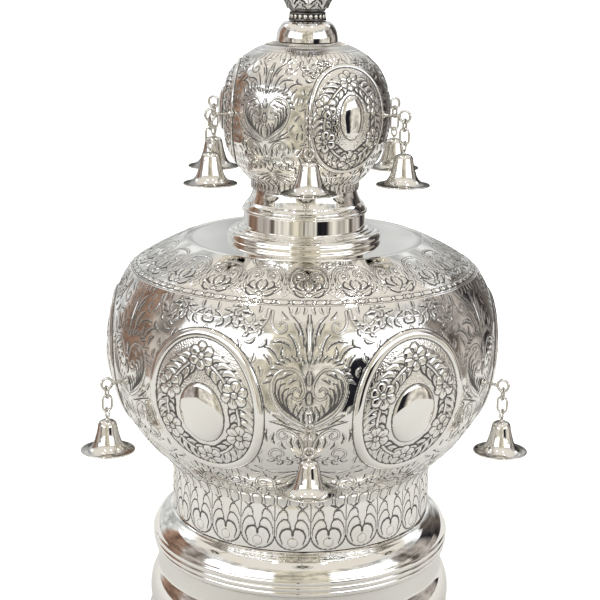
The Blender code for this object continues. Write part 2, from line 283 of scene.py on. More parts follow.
def lobes(relief, path, start, stop, count, length, side, wide=1.1, lean=0.8, shrink=1.0):
    """A row of leaf lobes along one side of a path; side is 1 on its left and -1 on its right."""
    for share in np.linspace(start, stop, count):
        i = min(int(share * (len(path) - 1)), len(path) - 2)
        along = path[i + 1] - path[i]
        along /= np.hypot(*along) + 1e-9
        out = np.array([-along[1], along[0]]) * side
        size = length * (1 + (shrink - 1) * (share - start) / max(stop - start, 0.01))
        foot = path[i]
        middle = foot + (out * 0.75 + along * 0.25 * lean) * size * 0.6
        tip = foot + (out * 0.8 + along * lean) * size
        leaf(relief, [foot, middle, tip], wide * size / length, 0.55, vein=size > 3.5)


def scroll(relief, points, wide, eye=None, eye_radius=1.6, rise=0.6):
    """A tendril along the points, narrowing to its end, with a bead in its eye."""
    path = smooth(points, 5)
    relief.stroke(path, np.linspace(wide, wide * 0.62, len(path)), rise, 0.8)
    if eye is not None:
        relief.disc(eye, eye_radius, rise, 0.8)
    return path


def sprinkle(relief, wide, low, high, pitch=3.4, room=2.1):
    """Small curled leaves wherever the ground between the scrolls is still bare."""
    for row, y in enumerate(np.arange(low, high, pitch * 0.86)):
        for x in np.arange(0.8 + pitch / 2 * (row % 2), wide, pitch):
            if not relief.empty(x, y, room):
                continue
            lean = 1.1 + 0.9 * sin(x * 0.31) * cos(y * 0.27)
            out = np.array([cos(lean), sin(lean)]) * room * 1.15
            side = np.array([-out[1], out[0]]) * (0.35 if row % 2 else -0.35)
            middle = np.array([x, y])
            leaf(relief, [middle - out, middle + side, middle + out], 0.75, 0.5, False, shade=row % 2 * 2 - 1)


def draw_scrollwork(relief):
    """Half of the scrollwork between two medallions; x runs out from its axis of symmetry."""
    # the field above the heart
    vine = scroll(relief, [(29, 49.5), (34, 45.5), (40, 42.5), (46, 42.2), (50, 44.5), (49.5, 48)], 0.8)
    lobes(relief, vine, 0.05, 0.75, 6, 5.0, -1)
    lobes(relief, vine, 0.1, 0.8, 5, 4.4, 1)
    vine = scroll(relief, [
        (18.5, 47.5), (19.6, 43), (23, 38.6), (28.5, 36.6), (33, 39), (33.4, 43.6), (30, 46.6), (26.2, 45.2),
        (25.6, 42), (28, 40.4), (29.8, 42),
    ], 0.8)
    lobes(relief, vine, 0.1, 0.56, 7, 4.8, 1, lean=0.9)
    lobes(relief, vine, 0.2, 0.5, 4, 3.0, -1, wide=0.8)
    scroll(relief, [
        (16.8, 47), (17.2, 42.4), (15.9, 38.8), (13.2, 37.2), (10.8, 38.4), (10.7, 41), (12.7, 42),
        (13.8, 40.6),
    ], 0.6)
    leaves(
        relief,
        # stems and fronds that rise from the heart's cleft
        (0.9, (0.0, 22), (0.7, 29), (0.9, 37), (0.5, 46)),
        (0.9, (2.6, 30), (2.2, 36), (4.4, 42), (8.4, 45.6)),
        (1.1, (5.4, 24.6), (5.2, 30), (7.2, 35), (9.6, 36.6)), (0.8, (4.6, 35), (4.6, 38.4), (6.8, 41.4)),
        (1.0, (7.6, 29), (9.6, 32.4), (13.4, 33.6), (17, 32.6)),
        (1.0, (10.6, 24.6), (12.2, 27.4), (12.0, 31)),
        (1.1, (14.2, 24.4), (15.2, 28), (18.2, 30.4), (21.6, 30.6)),
        (0.9, (17.6, 21.6), (18.4, 24.8), (21, 27)), (0.9, (19.8, 34.2), (20.6, 31.8), (23.6, 29.8)),
        (0.9, (24.8, 34.6), (27.2, 32.2), (30.4, 32.2)),
    )
    crest = smooth([(1.4, 22.6), (5.8, 24.0), (10.6, 23.2), (15.0, 19.6), (18.0, 13.6)], 6)
    lobes(relief, crest, 0.06, 0.96, 9, 3.6, 1, wide=0.8, lean=0.7)
    # the heart
    scroll(relief, [
        (1.0, -7.4), (6.4, -4.6), (11.6, -0.9), (15.6, 4.8), (17.4, 12.1), (15.7, 17.6), (11.9, 20.4),
        (7.3, 20.6), (3.9, 17.6), (2.0, 13.5), (1.9, 9.0), (4.4, 6.6), (7.4, 7.6), (8.0, 10.5), (6.2, 12.0),
        (4.7, 10.6),
    ], 0.75)
    for k in (3, 2, 1, 0):
        leaf(
            relief,
            [(2.2 + 1.1 * k, -5.2 + 1.0 * k), (5.4 + 1.9 * k, -2.0 + 1.4 * k), (8.6 + 1.9 * k, 2.6 + 2.0 * k),
             (9.2 + 1.7 * k, 7.4 + 2.3 * k), (7.6 + 1.6 * k, 9.6 + 2.3 * k)],
            1.25, full=0.6,
        )
    leaves(
        relief,
        (1.1, (7.2, 19.0), (10.4, 18.6), (12.4, 16.4)), (0.9, (5.6, 16.2), (8.0, 15.8), (9.4, 13.8)),
        (1.1, (4.6, -3.2), (6.2, 0.2), (5.6, 4.2)), (1.1, (3.2, -4.6), (4.0, -1.0), (2.8, 3.4)),
        (1.1, (0.8, -6.0), (1.6, -2.0), (0.8, 2.6)), (1.0, (0.0, 3.6), (0.8, 6.4), (0.2, 10.6)),
        (0.9, (0.2, 13), (0.9, 16), (0.5, 20)),
        # the leaf pair under it
        (1.2, (2.2, -9.8), (7.0, -7.2), (12.2, -5.4), (18.0, -4.6)),
        (0.9, (9.0, -6.0), (12.6, -3.2), (16.6, -1.2)),
    )
    scroll(relief, [
        (2.0, -20.6), (3.4, -14.8), (6.6, -10.4), (10.6, -8.6), (13.6, -9.8), (14.0, -12.6), (11.8, -13.9),
        (10.0, -12.2), (11.2, -10.6),
    ], 0.7)
    leaves(
        relief,
        (1.2, (5.0, -12.6), (5.6, -16), (3.8, -19.6)), (1.2, (7.8, -12.2), (9.0, -15.6), (7.0, -19)),
        (1.0, (12.4, -15.2), (12.8, -17.6), (10.4, -19.8)),
        (0.8, (15.8, -10.4), (17.0, -13.6), (15.6, -16.8)), (1.0, (0.0, -10.6), (0.8, -14.2), (0.3, -18.4)),
        (0.8, (19.2, -8.6), (20.2, -12), (19.0, -15.6)),
    )
    vine = scroll(relief, [
        (1.2, -21.6), (3.4, -25.0), (7.8, -27.0), (12.8, -27.4), (16.9, -25.4), (17.6, -22.2), (15.3, -20.2),
        (12.3, -20.9), (11.4, -23.3), (13.2, -24.5),
    ], 0.7)
    lobes(relief, vine, 0.06, 0.42, 5, 3.6, -1, wide=1.0, lean=0.6)
    lobes(relief, vine, 0.12, 0.36, 3, 3.0, 1, wide=0.9, lean=0.5)
    # the foot of the panel
    for k in range(4):
        leaf(
            relief,
            [(1.5, -33.5 - 1.6 * k), (8 - 0.4 * k, -34.6 - 2.6 * k), (14.5 - 2.0 * k, -35.6 - 4.6 * k),
             (19.5 - 3.9 * k, -35.4 - 5.2 * k)],
            1.5, full=0.6,
        )
    vine = scroll(relief, [
        (12, -60), (14.6, -52), (15.4, -45), (18.6, -41.2), (22.6, -42.4), (24, -47.6), (22, -52),
        (18.8, -50.4),
    ], 0.9, eye=(20.6, -46.8), eye_radius=1.8)
    lobes(relief, vine, 0.1, 0.45, 4, 4.8, 1, lean=0.6)
    vine = scroll(relief, [(22, -60), (26.5, -53), (32, -48), (38, -46), (44, -46.4)], 0.8)
    lobes(relief, vine, 0.1, 0.85, 6, 4.6, 1, lean=0.7)
    lobes(relief, vine, 0.1, 0.85, 6, 4.6, -1, lean=0.7)
    sprinkle(relief, 54, -60, 50)


def ellipse_distance(relief, half_width, half_height, level):
    """Signed distance from an ellipse on the panel's axis, in real mm."""
    x, y = relief.x, relief.y - level
    share = np.hypot(x / half_width, y / half_height) + 1e-6
    return (share - 1) / share * np.hypot(x, y) * relief.scale


def flower(relief, centre, radius, petals=6, turn=0.0):
    """Broad petals, each with a crease, round a raised button."""
    middle = np.asarray(centre, float)
    angles = [turn + 2 * pi * k / petals for k in range(petals)]
    ways = [np.array([cos(angle), sin(angle)]) for angle in angles]
    for out in ways:
        petal = [middle + out * radius * 0.34, middle + out * radius * 0.62]
        relief.stroke(petal, [radius * 0.24, radius * 0.38], 0.6)
    for out in ways:
        relief.score([middle + out * radius * 0.3, middle + out * radius * 0.66], 0.8)
    relief.disc(centre, radius * 0.25, 0.9)
    relief.disc(centre, radius * 0.1, 1.0, 0.5)


# Half width and half height of the frame's two edges and of the boss, mm, and their levels
Medallion = namedtuple("Medallion", "outer inner level frame_rise boss boss_level flowers flower_radius")
MAIN_MEDALLION = Medallion(
    outer=(31.8, 37.6), inner=(26.9, 33.0), level=-1.5, frame_rise=1.1, boss=(12.0, 15.3), boss_level=-5.0,
    flowers=[(0.0, 23.2), (17.6, 6.6), (18.4, -15.4), (0.0, -29.4)], flower_radius=6.9,
)
UPPER_MEDALLION = Medallion(
    outer=(22.6, 28.2), inner=(20.6, 26.0), level=0.6, frame_rise=0.7, boss=(6.8, 10.8), boss_level=1.6,
    flowers=[(0.0, 19.6), (13.6, 7.0), (13.8, -9.6), (0.0, -20.0)], flower_radius=5.5,
)
BOSS_RISE = 1.9


def draw_medallion(relief, shape):
    """A raised oval frame, a wreath of flowers in it, and a polished boss; drawn for x from 0 up."""
    everywhere = np.nonzero(np.ones(relief.x.shape, bool))
    relief.boldness = 1.0
    relief.reach *= 1.15
    away_outer = ellipse_distance(relief, *shape.outer, shape.level)
    away_inner = ellipse_distance(relief, *shape.inner, shape.level)
    field = away_inner < 0
    for part, plain in zip(Relief.PARTS, (0.0, 0.0, 1.0)):
        setattr(relief, part, np.where(field, plain, getattr(relief, part)))
    # leaves of the wreath, two rows along its middle
    size = shape.flower_radius
    for (ax, ay), (bx, by) in zip(shape.flowers[:-1], shape.flowers[1:]):
        middle = np.array([(ax + bx) / 2, (ay + by) / 2]) * 1.08
        stem = smooth([(ax, ay), middle, (bx, by)], 6)
        lobes(relief, stem, 0.16, 0.8, 5, size * 1.3, 1, wide=size * 0.26, lean=0.8)
        lobes(relief, stem, 0.25, 0.7, 3, size * 0.85, -1, wide=size * 0.26, lean=0.9)
        relief.stroke(stem, size * 0.12, 0.8)
    for x, y in shape.flowers:
        flower(relief, (x, y), size, turn=np.arctan2(y, x))
    # the frame
    band = np.minimum(-away_outer, away_inner)
    relief.stamp(everywhere, -band[everywhere], shape.frame_rise, float(np.max(band)))
    # the boss
    boss = ellipse_distance(relief, *shape.boss, shape.boss_level)
    relief.stamp(everywhere, boss[everywhere], BOSS_RISE, min(shape.boss) * relief.scale)


# ---------- fine walls ----------

def new_object(name, data):
    made = bpy.data.objects.new(name, data)
    bpy.context.scene.collection.objects.link(made)
    return made


def smoothed(mesh, sharp=SHARP):
    """The mesh, shaded smooth but for its sharp edges."""
    mesh.shade_smooth()
    if sharp:
        mesh.set_sharp_from_angle(angle=radians(sharp))
    return mesh


def wall_grid(radius_of, low, high, cell):
    """Rows of a turned wall: arc length from the low end, radius, level and outward normal."""
    level = np.linspace(low, high, 3000)
    radius = np.array([radius_of(z) for z in level])
    length = np.concatenate([[0], np.cumsum(np.hypot(np.diff(radius), np.diff(level)))])
    s = np.linspace(0, length[-1], int(round(length[-1] / cell)) + 1)
    r, z = np.interp(s, length, radius), np.interp(s, length, level)
    dr, dz = np.gradient(r, s), np.gradient(z, s)
    size = np.hypot(dr, dz)
    return s, r, z, dz / size, -dr / size


def grid_faces(ids):
    """The four-sided faces of a grid of point numbers."""
    a, b = ids[:-1], ids[1:]
    return np.stack([a[:, :-1], a[:, 1:], b[:, 1:], b[:, :-1]], -1).reshape(-1, 4)


def shaped_mesh(name, points, faces, sharp=None, **values):
    """A smooth mesh from points in mm, with named values on its first points."""
    mesh = bpy.data.meshes.new(name)
    mesh.from_pydata((points * MM).tolist(), [], faces)
    mesh.update()
    for label, known in values.items():
        full = np.zeros(len(points), np.float32)
        full[: known.size] = known.ravel()
        mesh.attributes.new(label, "FLOAT", "POINT").data.foreach_set("value", full)
    return smoothed(mesh, sharp)


def closed_wall(name, rows, angles, relief, wall, inner_columns, around):
    """A wall with its relief on the outside, a plain inside, and closed edges."""
    r, z, nr, nz = rows[1:]
    out_r = r[:, None] + relief.height * nr[:, None]
    out_z = z[:, None] + relief.height * nz[:, None]
    outer = np.stack([out_r * np.sin(angles), -out_r * np.cos(angles), out_z], -1)
    step = len(angles) // inner_columns
    at = angles[::step]
    in_r, in_z = (r - wall * nr)[:, None], (z - wall * nz)[:, None]
    inner = np.stack([in_r * np.sin(at), -in_r * np.cos(at), in_z + 0 * at], -1)
    outer_id = np.arange(outer[..., 0].size).reshape(outer.shape[:2])
    inner_id = outer_id.size + np.arange(inner[..., 0].size).reshape(inner.shape[:2])
    if around:
        outer_id = np.hstack([outer_id, outer_id[:, :1]])
        inner_id = np.hstack([inner_id, inner_id[:, :1]])
    faces = grid_faces(outer_id).tolist() + grid_faces(inner_id)[:, [0, 3, 2, 1]].tolist()
    if not around:
        for column, turned in ((0, False), (-1, True)):
            edge, back = outer_id[:, column], inner_id[:, column]
            strip = np.stack([edge[:-1], edge[1:], back[1:], back[:-1]], -1)
            faces += (strip[:, ::-1] if turned else strip).tolist()
    for row, turned in ((0, False), (-1, True)):
        for j in range(inner_id.shape[1] - 1):
            edge = outer_id[row, j * step : (j + 1) * step + 1].tolist()
            rim = [int(inner_id[row, j]), *edge, int(inner_id[row, j + 1])]
            faces.append(rim if turned else rim[::-1])
    points = np.concatenate([outer.reshape(-1, 3), inner.reshape(-1, 3)])
    return shaped_mesh(name, points, faces, 70, ink=relief.ink, ground=relief.ground)


def mirror(relief):
    """Adds the pattern's mirror image to its left; the first column is the axis."""
    for part in Relief.PARTS:
        half = getattr(relief, part)
        setattr(relief, part, np.hstack([half[:, :0:-1], half]))


Finish = namedtuple("Finish", "material slot")


def add_piece(name, data, finish, node, body="root", place=None):
    piece = new_object(name, data)
    if place is not None:
        piece.matrix_world = place
    if not data.materials:
        data.materials.append(finish.material)
    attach(piece, body)
    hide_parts(node)
    return piece


def half_sector(count, radius, cell):
    """Angles from a sector's axis to its edge; a whole number of inner columns fits."""
    span = pi / count
    steps = int(round(span * radius / cell / INNER_COLUMNS)) * INNER_COLUMNS
    return np.linspace(0, span, steps + 1)


def add_sectors(name, node, count, half, rows, relief, wall, finish):
    """A bulb's equal sectors, the first of them 30 degrees to the right of the front."""
    mirror(relief)
    angles = np.concatenate([-half[:0:-1], half])
    mesh = closed_wall(name, rows, angles, relief, wall, INNER_COLUMNS, around=False)
    for k in range(count):
        turn = Matrix.Rotation(radians(30 + 360 / count * k), 4, "Z")
        add_piece(f"{name}_{k + 1}", mesh, finish, node, place=turn)


def add_band(name, node, count, rows, relief, finish, turn=0.0):
    """A pattern mirrored and repeated all round a wall."""
    mirror(relief)
    for part in Relief.PARTS:
        setattr(relief, part, np.tile(getattr(relief, part)[:, :-1], count))
    columns = relief.height.shape[1]
    angles = np.arange(columns) * (2 * pi / columns) + (turn - pi / count)
    mesh = closed_wall(name, rows, angles, relief, WALL, count * 2, around=True)
    add_piece(name, mesh, finish, node)


def make_main_bulb(chased):
    """Six chased sectors with a medallion each."""
    count = 6
    rows = wall_grid(main_bulb_radius, BULB_FOOT, RING_LEVEL, CELL)
    s, r, z = rows[:3]
    up = (s - np.interp(PANEL_LEVEL, z, s))[:, None]
    half = half_sector(count, BULB_RADIUS, CELL)
    x_medallion, x_scroll = half * r[:, None], (half[-1] - half) * r[:, None]
    relief = Relief(x_scroll, up, boldness=0.38)
    draw_scrollwork(relief)
    # petals along the foot
    relief.use(x_medallion, s[:, None])
    pitch = GALLERY_RADIUS * radians(5)
    for k in range(8):
        relief.stroke([(k * pitch * 1.05, 1.2), (k * pitch * 1.09, 4.4)], [2.3, 2.5], 0.6)
    relief.use(x_medallion, up)
    draw_medallion(relief, MAIN_MEDALLION)
    add_sectors("main_bulb_sector", "main_bulb", count, half, rows, relief, WALL, chased)


def make_shoulder(chased, silver):
    """The palmette band on the shoulder and the plate inside it."""
    count, drawn_radius, columns, bead_pitch = 22, 72.0, 22, 5.14
    rows = wall_grid(main_bulb_radius, RING_LEVEL, RIM_LEVEL, CELL * 0.9)
    # half an arch; the drawing's x axis shrinks with the band's radius
    half = np.linspace(0, pi / count, columns)
    relief = Relief(half * drawn_radius, rows[0][:, None], boldness=0.5)
    relief.score([(0, 0.7), (12, 0.7)])
    relief.score([(0, 5.2), (12, 5.2)], 0.6)
    for k in range(3):
        for side in (1.3, -1.3):
            ends = sorted((k * bead_pitch, k * bead_pitch + side))
            relief.stroke([(x, 2.95) for x in ends], 1.35, 0.5)
    # the leaves between two arches, then the arch and what grows in it
    leaves(relief, (1.6, (10.3, 6.2), (9.0, 10), (6.0, 12)), (1.1, (10.3, 8.0), (10.3, 13), (10.3, 19)))
    arch = smooth([(4.6, 7.2), (8.0, 10.5), (9.3, 16), (8.9, 22), (5.6, 26.4), (0.0, 27.6)], 5)
    relief.stroke(arch, 0.6, 0.45, 0.8)
    scroll(
        relief,
        [(0.5, 9.0), (3.4, 11.0), (6.6, 14.0), (7.6, 18.4), (6.0, 22.6), (3.0, 23.4), (1.5, 20.8),
         (2.6, 18.2), (4.6, 18.6)],
        0.75, eye=(4.0, 20.4), eye_radius=1.1, rise=0.45,
    )
    leaves(
        relief, (1.5, (2.0, 10.6), (4.4, 13.2), (4.2, 16.4)), (1.3, (0.4, 10.4), (1.4, 13.6), (0.9, 17.2)),
        (1.3, (1.2, 6.6), (3.8, 7.4), (6.4, 10.6)), rise=0.45,
    )
    relief.disc((0.0, 7.6), 1.3, 0.45)
    add_band("shoulder_band", "main_bulb", count, rows, relief, chased)
    hole = ROD_HOLE + 0.2
    outline = [
        (hole, PLATE_LEVEL), (56, PLATE_LEVEL), (60.2, PLATE_LEVEL - 0.1), (60.95, RIM_LEVEL),
        (59.9, RIM_LEVEL - 1.2), (hole, PLATE_LEVEL - WALL),
    ]
    lathe("shoulder_plate", outline, silver, "main_bulb")


def make_gallery(chased):
    """Twenty-four leaf arches on the soldered band under the bulb."""
    count, columns = 24, 20
    radius, fullest, fullness = 67.75, 73, 0.0022      # a little fuller at mid height
    rows = wall_grid(lambda z: radius - fullness * (z - fullest) ** 2, GALLERY_BOTTOM, GALLERY_TOP, CELL)
    half = np.linspace(0, pi / count, columns)
    drawn_radius, drawn_zero, edge = 67.6, 11.7, 8.85
    relief = Relief(half * drawn_radius, (rows[0] - drawn_zero)[:, None], boldness=0.5)
    relief.score([(edge, 14), (edge, -3.0)], 1.0, 0.15)
    rim = smooth([(edge, -2.0), (8.6, -5.0), (7.0, -8.2), (3.8, -10.5), (0, -11.2)], 6)
    relief.score(rim, 0.9, 0.2)
    relief.score(rim * 0.9 + (0.0, -0.4), 0.45)
    # three pairs of leaf tips, each line swelling where it turns over
    for points, weight, wide in (
        ([(0.3, -3.2), (0.35, -1.4), (1.3, 0), (3.4, 0), (5.6, -1.8), (6.2, -4.6), (5, -8.2)], 1.0, 0.32),
        ([(1.2, 0.4), (1.3, 2.2), (2.4, 4.4), (4.2, 5), (6.6, 3), (7.9, -0.4), (8, -3.4)], 0.85, 0.2),
        ([(2.4, 4.8), (2.5, 7.2), (3.4, 9.4), (5.0, 9.8), (7.0, 7.6), (8.2, 4.0)], 0.85, 0.2),
    ):
        relief.curl(points, weight, wide, 6)
    relief.curl([(0.0, 13.1), (2.4, 12.4), (4.2, 10.9), (4.9, 9.9)], 1.0, 0.3, 6)
    relief.disc((4.7, 10.3), 0.55, 0.3)
    relief.curl([(5.0, 10.6), (6.6, 11.8), (8.4, 13.0)], 0.8, 0.15)
    relief.score([(0.0, -1.2), (0.0, -3.9)], 1.0, 0.2)
    for foot, tip in (((4.3, 1.2), (5.6, -1.0)), ((4.4, 6.6), (6.0, 4.4)), ((3.0, -3.0), (3.9, -5.4))):
        relief.score([foot, tip], 0.5)
    relief.disc((0.0, -7.1), 2.45, 0.35, 0.7)
    add_band("leaf_gallery_band", "leaf_gallery", count, rows, relief, chased, turn=radians(-4.9))


def make_upper_bulb(chased):
    """Three chased sectors with a medallion each."""
    count, drawn_radius = 3, 40.0
    rows = wall_grid(upper_bulb_radius, UPPER_FOOT, UPPER_TOP, UPPER_CELL)
    s, r, z = rows[:3]
    up = (s - np.interp(UPPER_PANEL_LEVEL, z, s))[:, None]
    half = half_sector(count, UPPER_RADIUS, UPPER_CELL)
    relief = Relief(half * r[:, None], up, boldness=0.4, reach=CUT * 0.9)
    scroll_level, scroll_scale = 3.9, 0.72
    relief.use((half[-1] - half) * r[:, None], up + scroll_level, scroll_scale)
    draw_scrollwork(relief)
    # the collar line, rays and petals, drawn by angle so that they meet at the axis
    relief.use(half * drawn_radius, up)
    width = drawn_radius * half[-1]
    relief.score([(0, 37.0), (width, 37.0)], 0.9)

    def spread(number):
        return [(k + 0.5) * width / number for k in range(number)]

    for at in spread(12):
        relief.curl([(at - 1.2, 30.6), (at, 33.0), (at + 0.3, 36.4)], 0.7, 0.15)
        relief.curl([(at + 1.4, 31.4), (at + 0.9, 33.4), (at + 0.6, 35.6)], 0.5)
    for at in spread(20):
        relief.curl([(at - 0.7, 38.4), (at, 40.2), (at + 0.7, 42.0)], 0.8, 0.12, 3)
        leaf(relief, [(at, 42.6), (at + 0.3, 45.0), (at, 47.6)], 1.0, vein=False)
    for at in spread(10):
        leaf(relief, [(at, -41.8), (at, -39.0), (at, -35.6)], 2.0, vein=False)
    relief.use(half * r[:, None], up)
    draw_medallion(relief, UPPER_MEDALLION)
    add_sectors("upper_bulb_sector", "upper_bulb", count, half, rows, relief, UPPER_WALL, chased)


# ---------- turned pieces ----------

def lathe_mesh(name, outline, closed, steps):
    """The outline, in mm, turned round the vertical axis."""
    edges = [(i, i + 1) for i in range(len(outline) - 1)]
    if closed:
        edges.append((len(outline) - 1, 0))
    mesh = bpy.data.meshes.new(name)
    mesh.from_pydata([(x * MM, 0.0, z * MM) for x, z in outline], edges, [])
    holder = new_object(name, mesh)
    screw = holder.modifiers.new("turned", "SCREW")
    screw.steps = screw.render_steps = steps
    screw.use_merge_vertices = True
    screw.merge_threshold = 0.000001
    return settled(holder)


def settled(holder):
    """The evaluated mesh of a holder object, smooth with sharp edges; the holder is removed."""
    bpy.context.view_layer.update()
    seen = holder.evaluated_get(bpy.context.evaluated_depsgraph_get())
    mesh = bpy.data.meshes.new_from_object(seen)
    mesh.name = holder.name
    bpy.data.objects.remove(holder, do_unlink=True)
    return smoothed(mesh)


def lathe(name, outline, finish, node, steps=144):
    add_piece(name, lathe_mesh(name, outline, True, steps), finish, node)


def offset_inside(outline, wall):
    """The outline run back a wall's thickness inside, so that both make one closed section."""
    p = np.asarray(outline, float)
    way = np.gradient(p, axis=0)
    way /= np.hypot(way[:, 0], way[:, 1])[:, None]
    inside = p + np.stack([way[:, 1], -way[:, 0]], -1) * wall
    inside[:, 0] = np.maximum(inside[:, 0], ROD_HOLE)
    return [tuple(q) for q in p] + [tuple(q) for q in inside[::-1]]


def make_base(silver):
    top = GALLERY_BOTTOM - 0.3
    outline = chain_of(
        arc((67.2, top), (70.4, 59.4), -0.25, 6),
        arc((70.6, 59.3), (77.4, 50.8), -1.05, 18),
        arc((77.5, 50.5), (77.9, 47.4), -0.5, 8),
        arc((77.5, 47.0), (77.5, 44.0), -0.6, 8),
        arc((77.0, 43.6), (76.6, 40.8), -0.55, 8),
        arc((76.2, 40.4), (75.4, 29.4), 0.2, 8),
        arc((75.7, 28.6), (77.8, FOOT_TOP + 0.6), -3.0, 18),
    )
    lathe("spun_base_skin", offset_inside(outline, WALL), silver, "spun_base")
    ring = chain_of(
        arc((78.0, FOOT_TOP), (FOOT_RADIUS, FOOT_BOTTOM), -1.1, 10), [(73.6, FOOT_BOTTOM), (73.6, FOOT_TOP)]
    )
    lathe("foot_ring_wire", ring, silver, "foot_ring")


def make_neck(silver):
    top = NECK_TOP
    outline = chain_of(
        arc((26.4, top), (28.6, top - 6.0), 0.35, 6),
        arc((28.8, top - 6.4), (31.2, top - 9.9), -0.4, 6),
        arc((31.3, top - 10.0), (31.5, top - 11.6), -0.55, 6),
        [(30.9, top - 12.0), (31.1, top - 18.9)],
        arc((31.9, top - 19.1), (33.2, top - 19.9), -0.3, 4),
        arc((33.8, top - 20.0), (35.4, top - 20.6), -0.35, 4),
        arc((35.8, top - 20.8), (38.4, NECK_FOOT), -1.9, 14),
    )
    lathe("neck_skin", offset_inside(outline, 1.0), silver, "neck")


def make_cap(silver, bead_silver, dark, dark_leaf):
    """The dome, the beaded collar, and the cup of leaves with its bud."""
    flat, power, bore = 9.4, 2.1, 3.5
    side = []
    for share in np.linspace(1.0, 0.0, 22):
        out = flat + (DOME_RADIUS - flat) * (1 - share**power) ** (1 / power)
        side.append((out, DOME_BASE + (DOME_TOP - DOME_BASE) * share))
    outline = chain_of([(bore, DOME_TOP), (6.0, DOME_TOP)], side)
    lathe("cap_dome_skin", offset_inside(outline, 0.9), silver, "cap_dome")
    core = chain_of(
        [(bore, COLLAR_TOP)],
        arc((8.4, COLLAR_TOP), (8.6, COLLAR_TOP - 1.1), -0.5, 6),
        [(8.1, COLLAR_TOP - 1.3), (8.1, COLLAR_FOOT + 1.0)],
        arc((9.0, COLLAR_FOOT + 1.0), (9.0, COLLAR_FOOT), -0.5, 6),
        [(bore, COLLAR_FOOT)],
    )
    # the core is painted dark: shade in the recess behind the beads, over the oxidised silver
    lathe("beaded_collar_core", core, dark, "beaded_collar")
    bead = ball_mesh("collar_bead", 0.62, 0.95, 1.25)
    beads, bead_ring, bead_level = 20, 8.7, (COLLAR_TOP + COLLAR_FOOT) / 2 - 0.1
    for k in range(beads):
        turn = Matrix.Rotation(2 * pi * (k + 0.5) / beads, 4, "Z")
        place = turn @ Matrix.Translation((bead_ring * MM, 0, bead_level * MM))
        # the beads take the bright wire silver: a lit copy of the collar's silver, a painted highlight
        add_piece(f"collar_bead_{k + 1}", bead, bead_silver, "beaded_collar", place=place)
    profile = ((bore, 0), (8.4, 0), (9.2, 1.2), (9.9, 3.2), (9.2, 5.0), (7.6, 9.0), (6.4, 11.6), (bore, 11.8))
    # the socket takes the same dark silver: painted shade under the cup of leaves
    lathe("finial_socket", [(r, CUP_FOOT + z) for r, z in profile[::-1]], dark, "finial", 96)
    leaves = 8
    for name, inner in (("cup_leaf", 0), ("cup_inner_leaf", 1)):
        for k in range(leaves):
            add_leaf(f"{name}_{k + 1}", 2 * pi * (k + inner / 2) / leaves, dark_leaf, inner)
    make_bud(dark_leaf)


def ball_mesh(name, across, along, up):
    """A bead, drawn out along its axes, as a subdivided cage."""
    body = bmesh.new()
    bmesh.ops.create_icosphere(body, subdivisions=3, radius=MM)
    bmesh.ops.scale(body, vec=(across, along, up), verts=body.verts)
    mesh = bpy.data.meshes.new(name)
    body.to_mesh(mesh)
    body.free()
    return smoothed(mesh, sharp=None)


def add_leaf(name, turn, finish, inner):
    """One acanthus leaf of the cup, lobed, ribbed and curled out; an inner one (1) stands taller."""
    lengthways, across = 30, 21
    t = np.linspace(0, 1, lengthways)[:, None]
    v = np.linspace(-1, 1, across)[None, :]
    side = np.abs(v)
    reach = (9.4 - 1.5 * inner) * t**1.35
    rise = (13.6 + 3.5 * inner) * t - 3.2 * np.clip(t - 0.78, 0, 1) ** 1.5 * 6
    half = (3.0 + 3.4 * np.sin(pi * np.clip(t * 0.95, 0, 1)) ** 0.8) * (1 - t**4) + 0.12
    half = half * (1 + 0.16 * np.abs(np.sin(t * pi * 4.5)))
    fold = -0.9 * side**1.6 * np.sin(pi * t) + 0.5 * np.exp(-((v / 0.14) ** 2))
    rib = np.cos((side * 2.4 - t * 5.0) * 2 * pi)
    radius = 9.4 - 1.2 * inner + reach + fold + 0.28 * rib * side * (1 - t)
    angle = v * half / np.maximum(radius, 6.0)
    level = CUP_FOOT + 1.5 + rise - 0.5 * v**2 * t
    points = np.stack([radius * np.cos(angle), radius * np.sin(angle), level], -1)
    points[..., :2] *= min(1.0, CUP_RADIUS / np.hypot(points[..., 0], points[..., 1]).max())
    # painted shade in the grooves between the ribs
    ink = np.where((rib < -0.3) & (side > 0.15), 1.0, 0.25)
    faces = grid_faces(np.arange(lengthways * across).reshape(lengthways, across)).tolist()
    mesh = shaped_mesh(name, points.reshape(-1, 3), faces, ink=ink)
    piece = add_piece(name, mesh, finish, "finial", place=Matrix.Rotation(turn, 4, "Z"))
    shell = piece.modifiers.new("sheet", "SOLIDIFY")
    shell.thickness = 0.8 * MM
    shell.offset = 0.0


def make_bud(finish):
    """The closed bud in the cup, ribbed by the petals wrapped round it."""
    foot = CUP_FOOT + 10.5
    rows, columns = 44, 96
    t = np.linspace(0, 1, rows)[:, None]
    turn = np.linspace(0, 2 * pi, columns, endpoint=False)[None, :]
    wave = np.abs(np.sin(turn * 4 + 1.4 * t))
    radius = 9.1 * np.sin(pi * np.clip(t * 0.86 + 0.16, 0, 1)) ** 0.75 * (0.84 + 0.16 * wave**0.5)
    radius = radius * (1 - 0.25 * t) + 0.05
    level = foot + (FINIAL_TOP - foot) * t + 0 * turn
    points = np.stack([radius * np.cos(turn), radius * np.sin(turn), level], -1).reshape(-1, 3)
    ids = np.arange(rows * columns).reshape(rows, columns)
    ids = np.hstack([ids, ids[:, :1]])
    faces = grid_faces(ids).tolist() + [ids[0, -2::-1].tolist(), ids[-1, :-1].tolist()]
    # painted shade in the folds between the wrapped petals
    mesh = shaped_mesh("finial_bud", points, faces, 60, ink=np.clip(1.3 - 3.2 * wave, 0, 1))
    add_piece("finial_bud", mesh, finish, "finial")


# ---------- bell strings ----------
# In a string's own frame X points away from the vertical axis; every mesh has its hinge at zero, mm.

